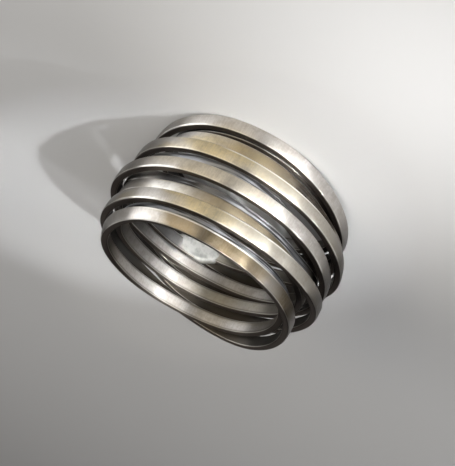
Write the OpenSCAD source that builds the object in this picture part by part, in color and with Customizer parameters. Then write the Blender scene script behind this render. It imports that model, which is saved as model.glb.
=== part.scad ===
// A wide finger ring wound from one long flat titanium wire.
// The ring lies on its side: the finger goes through along Z, and the lowest turn lies flat on
// z = 0. The wire starts at the weld inside the band, climbs to the upper rim on the inner layers,
// comes back down over them on the outer layers, turns in again at the lower rim, climbs along the
// finger, and ends at the same weld.

/* [Finger] */
// Diameter of the hole for the finger
bore_d = 19; // [16:0.5:24]

/* [Wire] */
// Width of the flat wire, across its broad face
wire_w = 1.55; // [1.3:0.05:1.55]
// Thickness of the flat wire
wire_t = 0.9; // [0.7:0.05:0.9]
// Width of the bevel that stands for the wire's soft edges
bevel = 0.17; // [0.1:0.01:0.25]
// Clear space between one layer of wire and the next
layer_gap = 0.05; // [0.05:0.01:0.2]
// Flat steps that a full turn is drawn with
steps = 48; // [32:8:48]

/* [Weld] */
// Length of the weld along the wire
weld_len = 5.6; // [4.4:0.1:6]
// Height of the weld, from edge to edge of the two wires that it joins
weld_h = 3; // [2.6:0.1:3]
// How far the weld leans from the run of the wire
weld_lean = 12; // [0:1:20]

/* [Hidden] */

// Each turn is given at eight places, in the order in which the wire passes them. The columns of
// the three tables are these places, by their angle about Z:
// 90 (+Y, the weld's side), 45, 0 (+X), -45, -90 (-Y), -135, -180 (-X), -225
places = 8;
first_at = 90;
lying = wire_w / 2; // height of the wire's middle where it lies on its narrow side

// Height of the wire's middle, a row for each turn
height = [
  [ 6.75, 7.45, 8, 8.6, 8.9, 8.7, 8, 8.2 ],                   // from the weld, out at both sides
  [ 8.45, 9.1, 9.8, 10.05, 10, 10.2, 10, 10.2 ],              // under turn 5
  [ 10.75, 11.4, 12.2, 12.5, 12.6, 12.2, 12.5, 13 ],          // on the finger, under the upper rim
  [ 13.3, 14.05, 14.45, 13.7, 13.55, 13.4, 13.35, 13.4 ],     // upper rim
  [ 12.5, 12.1, 12.35, 11.8, 11.45, 10.95, 10.15, 10.5 ],     // first outer turn
  [ 10.75, 9.15, 8.65, 7.8, 7.5, 7.4, 7.9, 8.1 ],             // middle outer turn
  [ 8.4, 7.45, 5.25, 4.95, 4.95, 5.1, 5.5, 5.6 ],             // last outer turn
  [ 5.65, 4.3, 2.2, 0.95, lying, 1.4, 2, 1.6 ],               // lower rim
  [ lying, lying, lying, lying, lying, lying, lying, lying ], // lies flat inside the lower rim
  [ 1.25, 2.1, 2.75, 3.15, 3.2, 3.55, 3.75, 3.2 ],            // under turn 7
  [ 3.35, 4.2, 5.35, 5.6, 5.8, 6.3, 5.9, 4.95 ],              // up to the weld, out at both sides
  [ 5.7, 5.7, 5.7, 5.7, 5.7, 5.7, 5.7, 5.7 ]                  // the end, inside the weld
];

// Layer that the wire lies in: 0 is on the finger, and each whole number is one wire further out
layer = [
  [ 0, 0, 2, 0, 0, 0, 1.5, 0.3 ],
  [ 0, 0.35, 1.8, 1.1, 1, 1.05, 0.85, 0 ],
  [ 0, 0.05, 0.35, 0.15, 0, 0, 0, 0 ],
  [ 0.15, 0.35, 1.05, 1.15, 1.1, 1.15, 1.25, 2.15 ],
  [ 2.3, 2.05, 2.2, 2.05, 2.02, 2.6, 3.05, 2.85 ],
  [ 2.65, 2.65, 3.15, 2.35, 2.05, 2.35, 2.75, 2.85 ],
  [ 2.75, 2.65, 2.55, 2.1, 2.02, 2.65, 3.35, 2.95 ],
  [ 2.55, 2.25, 1.85, 1.3, 1.15, 1.45, 1.95, 1.75 ],
  [ 1.55, 1.45, 0, 0, 0, 0, 0.9, 0 ],
  [ 0, 0.05, 0.05, 1, 1, 1.05, 2.3, 0 ],
  [ 0, 0, 1.3, 0, 0, 0, 1.2, 0.6 ],
  [ 0, 0, 0, 0, 0, 0, 0, 0 ]
];

// Degrees that the broad face tips upwards; most turns stand square to the finger
square = [ 0, 0, 0, 0, 0, 0, 0, 0 ];
tip = [
  square,
  [ 12, 10, 0, 0, 0, 0, 0, 0 ],
  square,
  [ 0, 12, 22, 18, 15, 5, 0, 0 ],
  square,
  square,
  [ 0, 0, 0, 0, 0, -5, -12, 0 ],
  square,
  square,
  square,
  square,
  square
];

weld_at = 80;                       // angle of the weld's middle about Z
weld_z = 6.15;                      // height of the weld's middle
start_at = first_at - weld_at;      // how far round the first turn the wire starts
end_at = 11 * 360 + 4;              // where the last turn stops
pitch = wire_t + layer_gap;         // from one layer to the next
cut_in = 0.1;                       // what lies on the finger is drawn this far into the hole
touching = 0.1;                     // a layer below this lies on the finger
ring_h = 16;                        // no part of the ring is taller
wire_sides = 8;                     // corners of the wire's outline
weld_sides = 32;                    // corners of the weld's outline

// A smooth curve through a table's values, u counting places along the wire
function cell(table, i) = table[floor(i / places)][i % places];
function smooth(a, b, c, d, f) =
  b + f * ((c - a) + f * ((2 * a - 5 * b + 4 * c - d) + f * (3 * b - a - 3 * c + d))) / 2;
function along(table, u) =
  let (i = floor(u), f = u - i)
  smooth(cell(table, max(i - 1, 0)), cell(table, i), cell(table, i + 1), cell(table, i + 2), f);

function middle(turned) =
  let (u = turned * places / 360,
       r = bore_d / 2 + wire_t / 2 + pitch * max(0, along(layer, u)),
       a = first_at - turned)
  [ r * cos(a), r * sin(a), max(lying, along(height, u)) ];
function unit(v) = v / norm(v);

// Outline of the wire, x outwards and y across the broad face
function outline(inner) =
  let (x = wire_t / 2, y = wire_w / 2, c = bevel)
  [ [ x, y - c ], [ x - c, y ], [ inner + c, y ], [ inner, y - c ],
    [ inner, c - y ], [ inner + c, -y ], [ x - c, -y ], [ x, c - y ] ];

// The outline's corners at one place along the wire
function section(turned) =
  let (p = middle(turned),
       t = unit(middle(turned + 1) - middle(turned - 1)),
       a = first_at - turned,
       out = [ cos(a), sin(a), 0 ],
       n = unit(out - t * (out * t)),
       b = cross(t, n),
       s = along(tip, turned * places / 360),
       x = n * cos(s) + b * sin(s),
       y = b * cos(s) - n * sin(s),
       on_finger = along(layer, turned * places / 360) < touching,
       inner = -wire_t / 2 - (on_finger ? cut_in : 0))
  [ for (q = outline(inner)) p + x * q[0] + y * q[1] ];

module wire() {
  step = 360 / steps;
  stations = [ start_at, for (a = [ ceil(start_at / step) * step : step : end_at ]) a, end_at ];
  n = wire_sides;
  last = (len(stations) - 1) * n;
  points = [ for (a = stations) each section(a) ];
  faces = [
    for (i = [ 0 : len(stations) - 2 ], j = [ 0 : n - 1 ])
      let (k = (j + 1) % n, a = i * n, b = a + n)
      each [ [ a + j, b + k, a + k ], [ a + j, b + j, b + k ] ],
    [ for (j = [ 0 : n - 1 ]) j ],
    [ for (j = [ 0 : n - 1 ]) last + n - 1 - j ]
  ];
  polyhedron(points, faces, convexity = 20);
}

// The two ends of the wire, melted together in a smooth patch
module weld() {
  depth = wire_t + 2 * layer_gap + 2 * cut_in;
  rotate([ 0, 0, weld_at ])
    translate([ bore_d / 2 - 2 * cut_in, 0, weld_z ])
      rotate([ 90, 0, 90 ])
        rotate([ 0, 0, -weld_lean ])
          linear_extrude(depth)
            polygon([ for (i = [ 0 : weld_sides - 1 ])
              let (a = i * 360 / weld_sides) [ weld_len / 2 * cos(a), weld_h / 2 * sin(a) ] ]);
}

// The wire and its weld, cut to a true round hole where they lie on the finger
module wound_ring() {
  color("#a39c90")
    difference() {
      union() {
        wire();
        weld();
      }
      translate([ 0, 0, -ring_h ]) cylinder(d = bore_d, h = 3 * ring_h, $fn = 96);
    }
}

wound_ring();
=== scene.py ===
import math

import bpy
from mathutils import Matrix, Vector


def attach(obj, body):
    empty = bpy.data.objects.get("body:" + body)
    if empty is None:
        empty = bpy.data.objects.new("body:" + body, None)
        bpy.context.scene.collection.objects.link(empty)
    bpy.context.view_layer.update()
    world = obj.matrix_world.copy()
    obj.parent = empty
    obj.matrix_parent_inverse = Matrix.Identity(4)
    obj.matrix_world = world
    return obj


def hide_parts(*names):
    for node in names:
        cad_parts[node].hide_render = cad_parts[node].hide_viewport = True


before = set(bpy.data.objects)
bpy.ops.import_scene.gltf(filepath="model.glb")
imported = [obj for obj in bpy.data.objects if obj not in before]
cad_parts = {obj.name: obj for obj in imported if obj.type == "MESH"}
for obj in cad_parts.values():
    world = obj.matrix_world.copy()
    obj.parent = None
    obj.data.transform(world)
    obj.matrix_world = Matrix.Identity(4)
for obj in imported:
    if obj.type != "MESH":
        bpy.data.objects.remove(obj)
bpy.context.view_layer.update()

# The wire
# One flat titanium wire, wound by hand round a mandrel and over itself. Inner turns line the
# finger hole, outer turns cross over them and stand clear at the sides, and both ends run into
# the weld inside the band. Sizes are in millimetres until the mesh is made.
mm = 0.001
wire_width = 1.55
wire_thick = 0.9
edge_radius = 0.17
corner_steps = 5
crown = 0.16  # the share by which the wire is thinner at its edges than in the middle
hole_radius = 9.5
layer_pitch = 0.95
lying = wire_width / 2  # height of the wire's middle where it lies on its narrow side
whole_turns = 11
places_per_turn = 8
degrees_per_place = 360 / places_per_turn
first_angle = 90
start_turned = 10
end_turned = whole_turns * 360 + 4
steps_per_turn = 144

# Each row is a turn. Its columns are eight places that the wire passes, by their angle about Z:
# 90 (+Y, the weld's side), 45, 0 (+X), -45, -90 (-Y), -135, -180 (-X), -225.
# Height is the wire's middle. Layer 0 is on the finger and each whole number is one wire out.
height_table = [
    [6.75, 7.45, 8, 8.6, 8.9, 8.7, 8, 8.2],
    [8.45, 9.1, 9.8, 10.05, 10, 10.2, 10, 10.2],
    [10.75, 11.4, 12.2, 12.5, 12.6, 12.2, 12.5, 13],
    [13.3, 14.05, 14.45, 13.7, 13.55, 13.4, 13.35, 13.4],
    [12.5, 12.1, 12.35, 11.8, 11.45, 10.95, 10.15, 10.5],
    [10.75, 9.15, 8.65, 7.8, 7.5, 7.4, 7.9, 8.1],
    [8.4, 7.45, 5.25, 4.95, 4.95, 5.1, 5.5, 5.6],
    [5.65, 4.3, 2.2, 0.95, lying, 1.4, 2, 1.6],
    [lying, lying, lying, lying, lying, lying, lying, lying],
    [1.25, 2.1, 2.75, 3.15, 3.2, 3.55, 3.75, 3.2],
    [3.35, 4.2, 5.35, 5.6, 5.8, 6.3, 5.9, 4.95],
    [5.7, 5.7, 5.7, 5.7, 5.7, 5.7, 5.7, 5.7],
]
layer_table = [
    [0, 0, 2, 0, 0, 0, 1.5, 0.3],
    [0, 0.35, 1.8, 1.1, 1, 1.05, 0.85, 0],
    [0, 0.05, 0.35, 0.15, 0, 0, 0, 0],
    [0.15, 0.35, 1.05, 1.15, 1.1, 1.15, 1.25, 2.15],
    [2.3, 2.05, 2.2, 2.05, 2.02, 2.6, 3.05, 2.85],
    [2.65, 2.65, 3.15, 2.35, 2.05, 2.35, 2.75, 2.85],
    [2.75, 2.65, 2.55, 2.1, 2.02, 2.65, 3.35, 2.95],
    [2.55, 2.25, 1.85, 1.3, 1.15, 1.45, 1.95, 1.75],
    [1.55, 1.45, 0, 0, 0, 0, 0.9, 0],
    [0, 0.05, 0.05, 1, 1, 1.05, 2.3, 0],
    [0, 0, 1.3, 0, 0, 0, 1.2, 0.6],
    [0, 0, 0, 0, 0, 0, 0, 0],
]
# Degrees that the broad face tips upwards, for the turns that don't stand square to the finger
square = [0] * places_per_turn
tip_table = [square] * len(height_table)
tip_table[1] = [12, 10, 0, 0, 0, 0, 0, 0]
tip_table[3] = [0, 12, 22, 18, 15, 5, 0, 0]
tip_table[6] = [0, 0, 0, 0, 0, -5, -12, 0]


def along(table, places):
    """The smooth curve through a table's values, a number of places from its start."""
    values = [v for row in table for v in row]
    i = math.floor(places)
    f = places - i
    a, b, c, d = values[max(i - 1, 0)], values[i], values[i + 1], values[i + 2]
    return b + f * ((c - a) + f * ((2 * a - 5 * b + 4 * c - d) + f * (3 * b - a - 3 * c + d))) / 2


def wire_middle(turned):
    """The wire's middle, a number of degrees along the winding."""
    places = turned / degrees_per_place
    r = hole_radius + wire_thick / 2 + layer_pitch * max(0, along(layer_table, places))
    a = math.radians(first_angle - turned)
    return Vector((r * math.cos(a), r * math.sin(a), max(lying, along(height_table, places))))


def wire_outwards(turned):
    """Which way the outer broad face looks there."""
    t = (wire_middle(turned + 1) - wire_middle(turned - 1)).normalized()
    a = math.radians(first_angle - turned)
    out = Vector((math.cos(a), math.sin(a), 0))
    n = (out - t * out.dot(t)).normalized()
    b = t.cross(n)
    s = math.radians(along(tip_table, turned / degrees_per_place))
    return n * math.cos(s) + b * math.sin(s)


class Tree:
    """Adds nodes to a node tree: a node's settings first, then the values or links of its sockets."""

    def __init__(self, tree):
        self.tree = tree

    def add(self, kind, settings=None, sockets=None, out=0):
        node = self.tree.nodes.new(kind)
        for name, value in (settings or {}).items():
            if name == "stops":
                ramp = node.color_ramp
                while len(ramp.elements) < len(value):
                    ramp.elements.new(0.5)
                for element, (place, colour) in zip(ramp.elements, value):
                    element.position = place
                    element.color = colour
            else:
                setattr(node, name, value)
        for name, value in (sockets or {}).items():
            socket = node.inputs[name]
            if isinstance(value, Value):
                value = value.socket
            if isinstance(value, bpy.types.NodeSocket):
                self.tree.links.new(value, socket)
            else:
                socket.default_value = value
        return Value(self, node.outputs[out]) if len(node.outputs) else node

    def blend(self, factor, first, second):
        """The first colour at 0, the second at 1: sockets 6 and 7 of a Mix node, and its output 2."""
        return self.add("ShaderNodeMix", {"data_type": "RGBA"},
                        {"Factor": factor, 6: first, 7: second}, out=2)


class Value:
    """A socket that takes part in Python sums, each of which adds its Math node."""

    def __init__(self, tree, socket):
        self.tree, self.socket = tree, socket

    def math(self, operation, *others):
        return self.tree.add("ShaderNodeMath", {"operation": operation},
                             dict(enumerate([self, *others])))

    def output(self, name):
        return Value(self.tree, self.socket.node.outputs[name])

    def __add__(self, other):
        return self.math("ADD", other)

    def __sub__(self, other):
        return self.math("SUBTRACT", other)

    def __rsub__(self, other):
        return self.tree.add("ShaderNodeMath", {"operation": "SUBTRACT"}, {0: other, 1: self})

    def __mul__(self, other):
        return self.math("MULTIPLY", other)

    def __abs__(self):
        return self.math("ABSOLUTE")

    __radd__ = __add__
    __rmul__ = __mul__

    def ramp(self, low, high):
        """0 at low, 1 at high, smooth between. Low may be the larger of the two."""
        return self.tree.add("ShaderNodeMapRange", {"interpolation_type": "SMOOTHSTEP"},
                             {"Value": self, "From Min": low, "From Max": high})


def sweep_tree():
    """Sweeps a rounded flat section along a line of points. Each point says which way is outwards."""
    group = bpy.data.node_groups.new("flat wire sweep", "GeometryNodeTree")
    face = group.interface
    face.new_socket("Line", in_out="INPUT", socket_type="NodeSocketGeometry")
    for name in ("Width", "Thickness", "Edge Radius", "Crown"):
        face.new_socket(name, in_out="INPUT", socket_type="NodeSocketFloat")
    face.new_socket("Corner Steps", in_out="INPUT", socket_type="NodeSocketInt")
    face.new_socket("Finish", in_out="INPUT", socket_type="NodeSocketMaterial")
    face.new_socket("Wire", in_out="OUTPUT", socket_type="NodeSocketGeometry")
    t = Tree(group)
    given = t.add("NodeGroupInput")
    rail = t.add("GeometryNodeMeshToCurve", sockets={"Mesh": given.output("Line")})
    outwards = t.add("GeometryNodeInputNamedAttribute", {"data_type": "FLOAT_VECTOR"},
                     {"Name": "outwards"})
    rail = t.add("GeometryNodeSetCurveNormal", {"mode": "FREE"},
                 {"Curve": rail, "Normal": outwards})
    flat = t.add("GeometryNodeCurvePrimitiveQuadrilateral", {"mode": "RECTANGLE"},
                 {"Width": given.output("Thickness"), "Height": given.output("Width")})
    rounded = t.add("GeometryNodeFilletCurve", {"mode": "POLY"},
                    {"Curve": flat, "Count": given.output("Corner Steps"),
                     "Radius": given.output("Edge Radius")})
    fine = t.add("GeometryNodeSubdivideCurve", sockets={"Curve": rounded, "Cuts": 1})
    # The broad faces fall away towards the edges, and each point keeps its place as "section"
    at_point = t.add("GeometryNodeInputPosition")
    x_and_y = t.add("ShaderNodeSeparateXYZ", sockets={"Vector": at_point})
    reach = x_and_y.output("Y").math("DIVIDE", given.output("Width")) * 2
    lower = x_and_y * reach * reach * given.output("Crown") * -1
    shift = t.add("ShaderNodeCombineXYZ", sockets={"X": lower})
    crowned = t.add("GeometryNodeSetPosition", sockets={"Geometry": fine, "Offset": shift})
    marked = t.add("GeometryNodeStoreNamedAttribute",
                   {"data_type": "FLOAT_VECTOR", "domain": "POINT"},
                   {"Geometry": crowned, "Name": "section", "Value": at_point})
    swept = t.add("GeometryNodeCurveToMesh",
                  sockets={"Curve": rail, "Profile Curve": marked, "Fill Caps": True})
    smooth = t.add("GeometryNodeSetShadeSmooth", {"domain": "FACE"}, {"Geometry": swept})
    real = t.add("GeometryNodeRealizeInstances", sockets={"Geometry": smooth})
    done = t.add("GeometryNodeSetMaterial",
                 sockets={"Geometry": real, "Material": given.output("Finish")})
    t.add("NodeGroupOutput", sockets={"Wire": done})
    return group


def new_object(name, data):
    """An object in the scene, at the origin."""
    obj = bpy.data.objects.new(name, data)
    bpy.context.scene.collection.objects.link(obj)
    return obj


def plain_mesh(obj, name):
    """The evaluated object as a plain mesh object at the origin; the working object goes."""
    bpy.context.view_layer.update()
    graph = bpy.context.evaluated_depsgraph_get()
    mesh = bpy.data.meshes.new_from_object(obj.evaluated_get(graph))
    bpy.data.objects.remove(obj)
    return new_object(name, mesh)


def new_finish(name):
    """A material without nodes, and the tree that its nodes go into."""
    finish = bpy.data.materials.new(name)
    finish.use_nodes = True
    finish.node_tree.nodes.clear()
    return finish, Tree(finish.node_tree)


def titanium():
    """Satin titanium. The outer faces are brushed across the wire, the faces that lie under other
    turns keep the bluish look of drawn wire, the narrow sides are brown and darkened with painted
    shade, and the edges carry a painted highlight. Every turn has its own tones at its own places,
    many of them painted shade and painted highlights."""
    finish, t = new_finish("brushed_titanium")

    # On the wire's section in millimetres, x goes outwards and y upwards across the broad face.
    # Under is 1 on the turns next to the finger, and hidden is 1 on all of them but their inner
    # face, because other turns lie over them. Inward is 1 on the inner face of every turn.
    section = t.add("ShaderNodeAttribute", {"attribute_name": "section"}, out="Vector")
    run = t.add("ShaderNodeAttribute", {"attribute_name": "run"}, out="Fac")
    under = t.add("ShaderNodeAttribute", {"attribute_name": "under"}, out="Fac")
    split = t.add("ShaderNodeSeparateXYZ", sockets={"Vector": section})
    x, y = split * (1 / mm), split.output("Y") * (1 / mm)
    half_width, half_thick = wire_width / 2, wire_thick / 2
    side = abs(y).ramp(half_width - 0.09, half_width - 0.01)
    past_flat_y = abs(y) - (half_width - edge_radius)
    past_flat_x = abs(x) - (half_thick - edge_radius)
    edge = past_flat_y.math("MINIMUM", past_flat_x).ramp(0.03, 0.6 * edge_radius)
    hidden = under * x.ramp(-0.3, -0.1)
    inward = x.ramp(-0.1, -0.35)

    # On the ring in millimetres, east is towards +X, north towards +Y and high is the height.
    # In front, the middle outer turn is 7.7 high, and the upper rim starts near 12.7.
    place = t.add("ShaderNodeSeparateXYZ",
                  sockets={"Vector": t.add("ShaderNodeTexCoord", out="Object")})
    east, north = place * (1 / mm), place.output("Y") * (1 / mm)
    high = place.output("Z") * (1 / mm)
    radius_squared = east * east + north * north
    off_middle_turn = abs(high - 7.7).ramp(0.7, 1.6)
    rim = high.ramp(12.5, 12.9)
    second_turns = off_middle_turn * high.ramp(2.2, 3.2) * (1 - rim)

    def noise(along_run, across, out, detail, offset=0.0):
        """Noise with its own fineness along the wire, across its face and through it."""
        at = t.add("ShaderNodeCombineXYZ", sockets={"X": run * along_run + offset, "Y": y * across,
                                                    "Z": x * out})
        return t.add("ShaderNodeTexNoise", sockets={"Vector": at, "Scale": 1, "Detail": detail})

    brushed = noise(7, 0.7, 0.7, 4)
    drawn = noise(0.5, 14, 14, 3, 31.0)
    grain = brushed * (1 - hidden) * (1 - side) + drawn * (hidden + side - hidden * side)
    cloud = noise(0.22, 0.5, 0.4, 3, 5.0)
    speckle = noise(5, 5, 5, 2, 71.0)
    scuffs = (0.6 * grain + 0.4 * speckle).ramp(0.3, 0.7)

    def outer_faces():
        """Steel grey, with straw gold in front and a duller straw to the west, greyer and darker at
        both ends with painted shade, brown on the front of the upper rim, and painted shade over that
        brown from the middle westwards."""
        steel = (0.60, 0.575, 0.545, 1)
        straw = (0.68, 0.575, 0.36, 1)
        dull_straw = (0.42, 0.39, 0.315, 1)
        grey = (0.20, 0.185, 0.168, 1)
        end_shade_grey = (0.07, 0.065, 0.06, 1)
        rim_brown = (0.275, 0.213, 0.125, 1)
        scuffed_grey = (0.37, 0.34, 0.30, 1)
        rim_shade_brown = (0.112, 0.088, 0.055, 1)
        patches = noise(0.16, 0.4, 0.4, 2, 52.5)
        gold = (0.34 * east - 0.94 * north + 16 * patches).ramp(17, 21)
        gold = gold * high.ramp(13.6, 12.8) * high.ramp(2.2, 3.2)
        face = t.blend(gold * (0.35 + 0.65 * off_middle_turn), steel, straw)
        dulled = second_turns * (0.95 * east.ramp(2, -2) - 0.3 * east.ramp(-3.5, -6))
        face = t.blend(dulled, face, dull_straw)
        # Painted shade: greyer towards both ends, and darker still at the very ends.
        face = t.blend(abs(east).ramp(7.8, 12.6) * 0.85, face, grey)
        face = t.blend(abs(east).ramp(10.8, 12.3) * 0.55, face, end_shade_grey)
        face = t.blend(north.ramp(-9.5, -10.2) * rim * 0.9, face, rim_brown)
        face = t.blend(scuffs * 0.46, face, scuffed_grey)
        # Painted shade: the front of the upper rim, from the middle westwards, goes dark brown.
        rim_shade = rim * east.ramp(2.6, 1.2) * north.ramp(-3, -6)
        rim_shade = rim_shade * (1 - 0.4 * east.ramp(-3.2, -4.8) * east.ramp(-8.6, -6.8))
        return t.blend(rim_shade * (1 - 0.12 * scuffs), face, rim_shade_brown)

    def tucked_faces(face):
        """Outer faces in front that lie deeper than their neighbours: a painted highlight in two
        patches to the east, then brown painted shade, and painted shade nearly black to the west."""
        painted_highlight_metal = (0.94, 0.92, 0.87, 1)
        tucked_shade_brown = (0.34, 0.26, 0.14, 1)
        painted_shade_black = (0.045, 0.036, 0.028, 1)
        tucked = radius_squared.ramp(139, 133.5) * high.ramp(1.8, 2.4) * (1 - rim)
        tucked = tucked * north.ramp(-2, -4)
        high_patch = high.ramp(9.2, 9.6) * east.ramp(4.5, 6.5) * east.ramp(9.8, 8.8)
        low_patch = high.ramp(4.5, 4.1) * east.ramp(8.2, 9.4)
        # Painted highlight in two patches, then painted shade: brown, and nearly black to the west.
        face = t.blend(tucked * (high_patch + low_patch) * 0.9, face, painted_highlight_metal)
        face = t.blend(tucked * east.ramp(6, 3) * 0.6, face, tucked_shade_brown)
        return t.blend(tucked * east.ramp(3, -5) * (1.2 - 0.07 * high), face, painted_shade_black)

    def stains_and_edge_glints(face):
        """Faint stains, and a painted highlight along edges: in front the lower ones of the upper rim
        and of the turns that stand out furthest, to the east the upper ones."""
        stain_brown = (0.26, 0.215, 0.16, 1)
        edge_glint_metal = (0.95, 0.93, 0.88, 1)
        stains = noise(1.1, 1.3, 1.3, 3, 90.0).ramp(0.45, 0.62)
        face = t.blend(stains * 0.22, face, stain_brown)
        proud = radius_squared.ramp(145, 150) * (1 - rim)
        low_edges = proud * second_turns * (east + 0.5 * high).ramp(7.5, 5.5) + rim
        low_edges = low_edges * north.ramp(-6, -9) * east.ramp(-8, -6) * (y * -1).ramp(0.5, 0.62)
        high_edges = y.ramp(0.5, 0.62) * east.ramp(7, 9) * east.ramp(11.8, 11)
        high_edges = high_edges * abs(high - 5).ramp(0.8, 1.6) * (1 - rim)
        # Painted highlight along these edges.
        return t.blend((low_edges + high_edges) * 0.85, face, edge_glint_metal)

    def drawn_faces():
        """Bluish streaks of drawn wire on a dark base that is tarnish and painted shade between the
        turns, with painted light towards the east. The streaks fade into painted shade at three
        places, and the lowest wire has none."""
        tarnish_and_shade = (0.07, 0.068, 0.068, 1)
        drawn_blue = (0.60, 0.61, 0.64, 1)
        streaks = noise(0.16, 3, 3, 3, 57.0).ramp(0.42, 0.56)
        # Painted shade: the streaks fade at three places.
        streaks = streaks * (1 - east.ramp(5.2, 7.2) * abs(high - 8.3).ramp(1.2, 0.6))
        streaks = streaks * (1 - 0.7 * east.ramp(-5.6, -7) * high.ramp(7, 7.5))
        streaks = streaks * (1 - 0.35 * east.ramp(0.8, -1) * east.ramp(-5, -3))
        # Painted light, towards the east.
        painted_light = east.ramp(-1, 3) * (1 - high.ramp(6.8, 7.4) * east.ramp(4, 5.5))
        return t.blend((streaks + 0.4 * painted_light) * high.ramp(1.4, 1.8), tarnish_and_shade, drawn_blue)

    def inner_faces(colour):
        """What looks at the finger: painted shade towards its edges, on the outer turns, at its east
        and west ends and to the west of the weld, and a darker grey beside the weld to the east."""
        edge_shade_brown = (0.15, 0.13, 0.115, 1)
        shaded_brown = (0.085, 0.074, 0.06, 1)
        east_shade_grey = (0.10, 0.10, 0.10, 1)
        west_shade_brown = (0.10, 0.094, 0.086, 1)
        beside_weld_grey = (0.12, 0.12, 0.12, 1)
        # Painted shade towards the edges, on the outer turns, at the ends and west of the weld.
        colour = t.blend(inward * abs(y).ramp(0.40, 0.72), colour, edge_shade_brown)
        colour = t.blend(inward * (1 - under), colour, shaded_brown)
        east_end = inward * east.ramp(4.5, 9) * high.ramp(13.6, 12.9)
        colour = t.blend(east_end * 0.6, colour, east_shade_grey)
        low_west = high.ramp(4.6, 4.2) * east.ramp(-4.5, -6.5)
        west_end = inward * east.ramp(-7.2, -8.7).math("MAXIMUM", low_west)
        colour = t.blend(west_end * 0.55, colour, west_shade_brown)
        west_of_weld = high.ramp(6.1, 5.7) * east.ramp(-1.4, -2.6) * east.ramp(-5.6, -4.6)
        colour = t.blend(inward * west_of_weld * 0.6, colour, west_shade_brown)
        # Darker grey beside the weld to the east.
        east_of_weld = inward * high.ramp(8.6, 8.2) * east.ramp(3.3, 4.3)
        return t.blend(east_of_weld * 0.75, colour, beside_weld_grey)

    side_shade_brown = (0.11, 0.092, 0.078, 1)
    bevel_highlight_metal = (0.72, 0.68, 0.61, 1)
    seen = stains_and_edge_glints(tucked_faces(outer_faces()))
    colour = inner_faces(t.blend(hidden, seen, drawn_faces()))
    # The narrow sides are brown, darkened further with painted shade.
    colour = t.blend(side, colour, side_shade_brown)
    # Painted highlight on the rounded edges.
    colour = t.blend(edge * 0.65, colour, bevel_highlight_metal)
    rough = 0.26 + 0.12 * cloud + 0.04 * grain + 0.05 * speckle + 0.14 * inward + 0.12 * hidden
    rough = rough * (1 - 0.15 * edge)
    bump = t.add("ShaderNodeBump", sockets={"Strength": 0.3, "Distance": 0.00002,
                                            "Height": grain}, out="Normal")
    shader = t.add("ShaderNodeBsdfPrincipled",
                   sockets={"Base Color": colour, "Metallic": 1.0, "Roughness": rough,
                            "Anisotropic": 0.95, "Anisotropic Rotation": 0.25, "Normal": bump})
    t.add("ShaderNodeOutputMaterial", sockets={"Surface": shader})
    return finish


# The line that the section follows. Each point has its way outwards, its distance along the wire
# and "under", which is 1 next to the finger and 0 from one layer further out.
steps = whole_turns * steps_per_turn
stations = [start_turned + (end_turned - start_turned) * i / steps for i in range(steps + 1)]
middles = [wire_middle(a) for a in stations]
line = bpy.data.meshes.new("wire_line")
line.from_pydata([p * mm for p in middles], [(i, i + 1) for i in range(steps)], [])
outwards = line.attributes.new("outwards", "FLOAT_VECTOR", "POINT")
outwards.data.foreach_set("vector", [c for a in stations for c in wire_outwards(a)])
run = line.attributes.new("run", "FLOAT", "POINT")
under = line.attributes.new("under", "FLOAT", "POINT")
length = 0
for i, p in enumerate(middles):
    length += (p - middles[max(i - 1, 0)]).length
    run.data[i].value = length
    layer = along(layer_table, stations[i] / degrees_per_place)
    under.data[i].value = min(1, max(0, 1.5 - 1.5 * layer))

rail = new_object("wire_rail", line)
sweep = rail.modifiers.new("sweep", "NODES")
sweep.node_group = sweep_tree()
inputs = {s.name: s.identifier for s in sweep.node_group.interface.items_tree
          if s.in_out == "INPUT"}
sweep[inputs["Width"]] = wire_width * mm
sweep[inputs["Thickness"]] = wire_thick * mm
sweep[inputs["Edge Radius"]] = edge_radius * mm
sweep[inputs["Crown"]] = crown
sweep[inputs["Corner Steps"]] = corner_steps
sweep[inputs["Finish"]] = titanium()
wire = plain_mesh(rail, "wound_wire")
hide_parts("wound_ring")
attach(wire, "root")

# The weld
# Both ends of the wire are melted together in a pale matt patch inside the band. It is an oval
# with a lumpy outline, almost flush with the finger hole, and leans a little from the wire's run.
weld_long = 5.6
weld_tall = 3.0
weld_lean = math.radians(-12)
weld_angle = math.radians(80)
weld_height = 6.15
weld_swell = 0.05  # how far the middle of its face stands into the finger hole
weld_depth = 0.95  # how far its back is from the finger hole
weld_around = 96
weld_rings = 14


def weld_point(around, share, radius):
    """A point on the patch: the way round its outline, the share from its middle, its radius."""
    lumps = 1 + 0.022 * math.sin(5 * around + 0.8) + 0.016 * math.sin(9 * around + 2.1)
    u = weld_long / 2 * math.cos(around) * lumps * share
    v = weld_tall / 2 * math.sin(around) * lumps * share
    along_band = u * math.cos(weld_lean) - v * math.sin(weld_lean)
    up_band = u * math.sin(weld_lean) + v * math.cos(weld_lean)
    a = weld_angle + along_band / hole_radius
    return Vector((radius * math.cos(a), radius * math.sin(a), weld_height + up_band)) * mm


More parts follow.
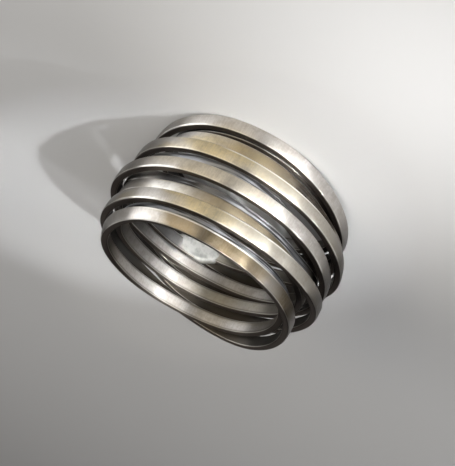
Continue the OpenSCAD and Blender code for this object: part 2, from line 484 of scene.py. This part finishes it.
def weld_patch():
    """A closed lens: a rippled face on the finger's side, a rounded rim and a flat back."""
    turns = [2 * math.pi * i / weld_around for i in range(weld_around)]
    profile = []
    for k in range(1, weld_rings + 1):
        share = k / weld_rings
        ripple = 0.035 * math.sin(7.5 * share + 0.5) ** 2 * share
        profile.append((share, hole_radius + (-weld_swell + ripple + 0.25 * share ** 8)))
    profile += [(1.0, hole_radius + 0.55), (0.97, hole_radius + wire_thick),
                (0.5, hole_radius + weld_depth)]
    points = [weld_point(0, 0, hole_radius - weld_swell)]
    for share, radius in profile:
        points += [weld_point(a, share, radius) for a in turns]
    points.append(weld_point(0, 0, hole_radius + weld_depth))
    n = weld_around
    faces = [(0, 1 + (i + 1) % n, 1 + i) for i in range(n)]
    for k in range(len(profile) - 1):
        a, b = 1 + k * n, 1 + (k + 1) * n
        faces += [(a + i, a + (i + 1) % n, b + (i + 1) % n, b + i) for i in range(n)]
    last, tip = 1 + (len(profile) - 1) * n, len(points) - 1
    faces += [(last + i, last + (i + 1) % n, tip) for i in range(n)]
    mesh = bpy.data.meshes.new("weld")
    mesh.from_pydata(points, [], faces)
    mesh.polygons.foreach_set("use_smooth", [True] * len(mesh.polygons))
    shares = [0] + [share for share, _ in profile for _ in turns] + [0]
    mesh.attributes.new("share", "FLOAT", "POINT").data.foreach_set("value", shares)
    return mesh


def melted_titanium():
    """Pale, matt and mottled, with a lumpy skin where it froze and a darker rim."""
    grey = (0.36, 0.36, 0.34, 1)
    pale = (0.58, 0.575, 0.55, 1)
    rim_grey = (0.24, 0.23, 0.21, 1)
    finish, t = new_finish("melted_titanium")
    place = t.add("ShaderNodeTexCoord", out="Object")
    mottle = t.add("ShaderNodeTexNoise", sockets={"Vector": place, "Scale": 1100, "Detail": 3})
    pits = t.add("ShaderNodeTexNoise", sockets={"Vector": place, "Scale": 5200, "Detail": 2})
    colour = t.add("ShaderNodeValToRGB", {"stops": [(0.38, grey), (0.58, pale)]},
                   {"Fac": mottle}, out="Color")
    share = t.add("ShaderNodeAttribute", {"attribute_name": "share"}, out="Fac")
    colour = t.blend(0.75 * share.ramp(0.82, 0.98), colour, rim_grey)
    bump = t.add("ShaderNodeBump", sockets={"Strength": 0.9, "Distance": 0.0001,
                                            "Height": mottle + 0.4 * pits}, out="Normal")
    shader = t.add("ShaderNodeBsdfPrincipled",
                   sockets={"Base Color": colour, "Metallic": 0.35, "Normal": bump,
                            "Roughness": 0.5 + 0.25 * mottle})
    t.add("ShaderNodeOutputMaterial", sockets={"Surface": shader})
    return finish


patch = weld_patch()
patch.materials.append(melted_titanium())
weld = new_object("weld", patch)
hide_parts("wound_ring")
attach(weld, "root")

# The floor, the lights and the camera
# A plain pale floor and soft studio lamps round the ring, all in metres. The camera has the ring
# at the photograph's angle: a little above its rim, and rolled so that the hole looks down left.
floor_reach = 6
floor_corners = [(-1, -1), (1, -1), (1, 1), (-1, 1)]
floor_mesh = bpy.data.meshes.new("floor")
floor_mesh.from_pydata([(floor_reach * x, floor_reach * y, 0) for x, y in floor_corners],
                       [], [(0, 1, 2, 3)])
floor = new_object("floor", floor_mesh)
pale_floor = bpy.data.materials.new("pale_floor")
pale_floor.use_nodes = True
floor_shader = pale_floor.node_tree.nodes["Principled BSDF"]
floor_shader.inputs["Base Color"].default_value = (0.57, 0.565, 0.56, 1)
floor_shader.inputs["Roughness"].default_value = 0.8
floor_mesh.materials.append(pale_floor)

lamp_distance = 0.4
ring_middle = (0, 0, 0.0075)
white = (1, 1, 1)


def hang(name, lamp, azimuth, elevation, target, distance=lamp_distance):
    """Puts a lamp where it faces its target. Azimuth is the lamp's angle about Z, in degrees."""
    a, e = math.radians(azimuth), math.radians(elevation)
    away = Vector((math.cos(a) * math.cos(e), math.sin(a) * math.cos(e), math.sin(e)))
    obj = new_object(name, lamp)
    obj.matrix_world = (Matrix.Translation(away * distance + Vector(target))
                        @ away.to_track_quat("Z", "Y").to_matrix().to_4x4())


def softbox(name, azimuth, elevation, width, height, brightness, colour, distance=lamp_distance):
    """A soft lamp that faces the ring. Brightness is its radiance."""
    lamp = bpy.data.lights.new(name, "AREA")
    lamp.shape = "RECTANGLE"
    lamp.size = width
    lamp.size_y = height
    lamp.energy = brightness * math.pi * width * height
    lamp.color = colour
    hang(name, lamp, azimuth, elevation, ring_middle, distance)


def spot(name, azimuth, elevation, target, radius, softness, irradiance, colour):
    """A round beam on a target point, with its radius there and the light that falls on it."""
    lamp = bpy.data.lights.new(name, "SPOT")
    lamp.spot_size = 2 * math.atan(radius / lamp_distance)
    lamp.spot_blend = softness
    lamp.shadow_soft_size = 0.02
    lamp.energy = 4 * math.pi * irradiance * lamp_distance ** 2
    lamp.color = colour
    hang(name, lamp, azimuth, elevation, target)


# Broad lamps stand in a circle, and the polished turns mirror them as bright and dim bands
softbox("front_window", -100, 22, 0.29, 0.20, 7.2, white)
softbox("front_wing", -130, 20, 0.17, 0.20, 2.6, white)
softbox("warm_wall", -44, 20, 0.30, 0.22, 2.5, (1, 0.90, 0.72))
softbox("left_window", -5, 14, 0.23, 0.16, 5.6, white)
softbox("side_window", 36, 24, 0.20, 0.16, 1.0, white)
softbox("right_window", -166, 14, 0.40, 0.16, 2.1, white)
softbox("back_wall", 90, 25, 0.30, 0.20, 0.15, (1, 0.9, 0.8))
softbox("high_front", -70, 34, 0.5, 0.18, 0.8, white, distance=0.5)

# Narrow beams light the floor in front of the ring and the far side of the finger hole
pool_azimuth = -106
pool_away = 0.033
pool_angle = math.radians(pool_azimuth)
pool = (pool_away * math.cos(pool_angle), pool_away * math.sin(pool_angle), 0)
spot("floor_pool", pool_azimuth, 60, pool, 0.022, 1.0, 4.6, white)
spot("inside_left", -150, 27, (0.0036, 0.0092, 0.0105), 0.0054, 0.8, 12, (0.95, 0.97, 1))
spot("inside_middle", -122, 27, (0.0018, 0.0098, 0.0105), 0.0054, 0.8, 52, (0.95, 0.98, 1))
spot("inside_right", -98, 27, (0.0, 0.0098, 0.0105), 0.0054, 0.8, 10, (1, 0.94, 0.84))

world = bpy.data.worlds.new("studio")
world.use_nodes = True
world.node_tree.nodes["Background"].inputs["Color"].default_value = (0.05, 0.05, 0.053, 1)
bpy.context.scene.world = world

camera_up = math.radians(24.79)
camera_roll = math.radians(212.07)
camera_away = 0.1235
aim = Vector((0, 0, 0.00745))
back = Vector((0, -math.cos(camera_up), math.sin(camera_up)))
level_right = Vector((1, 0, 0))
level_up = back.cross(level_right)
right = math.cos(camera_roll) * level_right + math.sin(camera_roll) * level_up
up = -math.sin(camera_roll) * level_right + math.cos(camera_roll) * level_up
lens = bpy.data.cameras.new("camera")
lens.sensor_width = 36
lens.lens = 87
lens.shift_x = 0.0077
lens.shift_y = 0.0052
lens.clip_start = 0.005
camera = new_object("camera", lens)
camera.matrix_world = (Matrix.Translation(aim + back * camera_away)
                       @ Matrix((right, up, back)).transposed().to_4x4())
bpy.context.scene.camera = camera
bpy.context.scene.view_settings.view_transform = "Standard"
